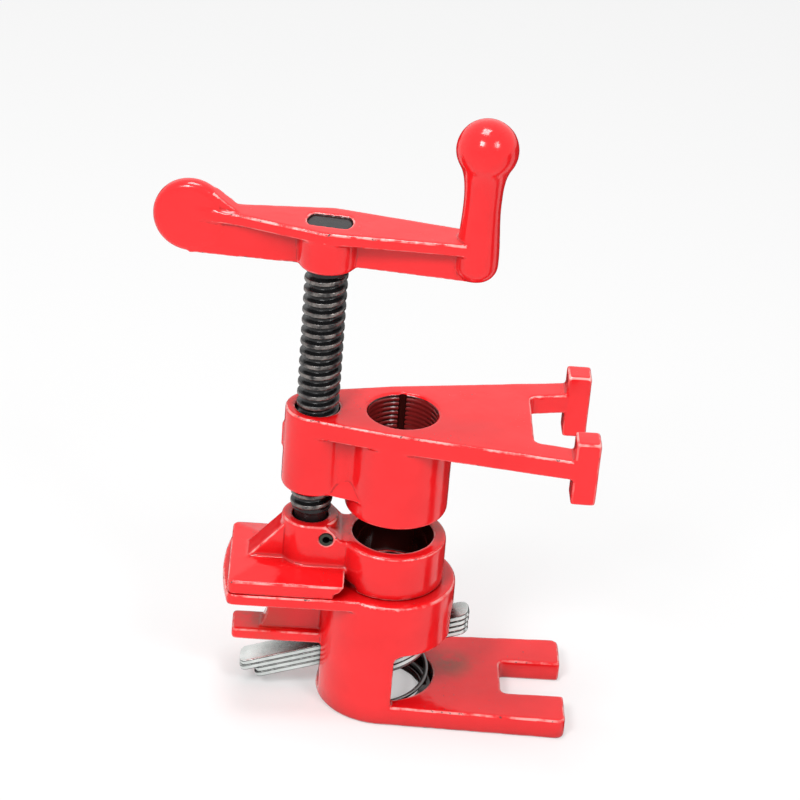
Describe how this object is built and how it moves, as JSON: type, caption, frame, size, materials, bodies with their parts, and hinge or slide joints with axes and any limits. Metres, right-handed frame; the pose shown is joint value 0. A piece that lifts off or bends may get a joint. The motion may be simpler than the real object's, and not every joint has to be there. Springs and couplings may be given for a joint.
{
  "type": "pipe clamp fixture set",
  "caption": "Woodworking pipe clamp fixtures without the pipe: screw head with crank handle, sliding front jaw, and sliding foot jaw with a spring-loaded clutch plate stack.",
  "frame": {"origin": "on the pipe's axis at the underside of the sliding foot", "axes": "+Z along the pipe's axis from the sliding foot towards the crank, +X towards both feet, with both jaw pads to -X, +Y across the clamp"},
  "size_m": [0.1568, 0.0574, 0.2312],
  "materials": {
    "red_enamel": "gloss red enamel on iron castings",
    "black_steel": "black oxide, lightly oiled",
    "zinc_plate": "satin zinc plate",
    "spring_steel": "drawn spring wire",
    "pin_steel": "dark rolled spring steel"
  },
  "bodies": {
    "tail": {"tail_casting": "red_enamel", "clutch_spring": "spring_steel"},
    "plate_1": {"clutch_plate_1": "zinc_plate"},
    "plate_2": {"clutch_plate_2": "zinc_plate"},
    "plate_3": {"clutch_plate_3": "zinc_plate"},
    "plate_4": {"clutch_plate_4": "zinc_plate"},
    "front_jaw": {"front_jaw_casting": "red_enamel", "roll_pin": "pin_steel"},
    "screw": {"screw": "black_steel", "crank_handle": "red_enamel"},
    "head": {"head_casting": "red_enamel"}
  },
  "joints": [
    {"name": "pipe_slide", "type": "slide", "parent": "tail", "child": "front_jaw", "axis": [0, 0, 1], "range_m": [0, 0.2]},
    {"name": "crank_turn", "type": "hinge", "parent": "front_jaw", "child": "screw", "pos_m": [-0.03, 0, 0.0681], "axis": [0, 0, -1], "range_deg": [-945, 4500]},
    {"name": "head_travel", "type": "slide", "parent": "front_jaw", "child": "head", "axis": [0, 0, 1], "range_m": [-0.0105, 0.05]},
    {"name": "clutch_tilt_1", "type": "hinge", "parent": "tail", "child": "plate_1", "pos_m": [-0.01833, 0, 0.02195], "axis": [0, 1, 0], "range_deg": [0, 18], "stiffness_Nm_per_rad": 0.3, "springref_deg": -22.92, "deforming": ["clutch_spring"]},
    {"name": "clutch_tilt_2", "type": "hinge", "parent": "tail", "child": "plate_2", "pos_m": [-0.01833, 0, 0.0198], "axis": [0, 1, 0], "range_deg": [0, 18]},
    {"name": "clutch_tilt_3", "type": "hinge", "parent": "tail", "child": "plate_3", "pos_m": [-0.01833, 0, 0.01764], "axis": [0, 1, 0], "range_deg": [0, 18]},
    {"name": "clutch_tilt_4", "type": "hinge", "parent": "tail", "child": "plate_4", "pos_m": [-0.01833, 0, 0.01548], "axis": [0, 1, 0], "range_deg": [0, 18]}
  ],
  "couplings": [
    {"joint": "head_travel", "follows": "crank_turn", "m_per_rad": 0.00063662},
    {"joint": "clutch_tilt_2", "follows": "clutch_tilt_1", "ratio": 1},
    {"joint": "clutch_tilt_3", "follows": "clutch_tilt_1", "ratio": 1},
    {"joint": "clutch_tilt_4", "follows": "clutch_tilt_1", "ratio": 1}
  ]
}
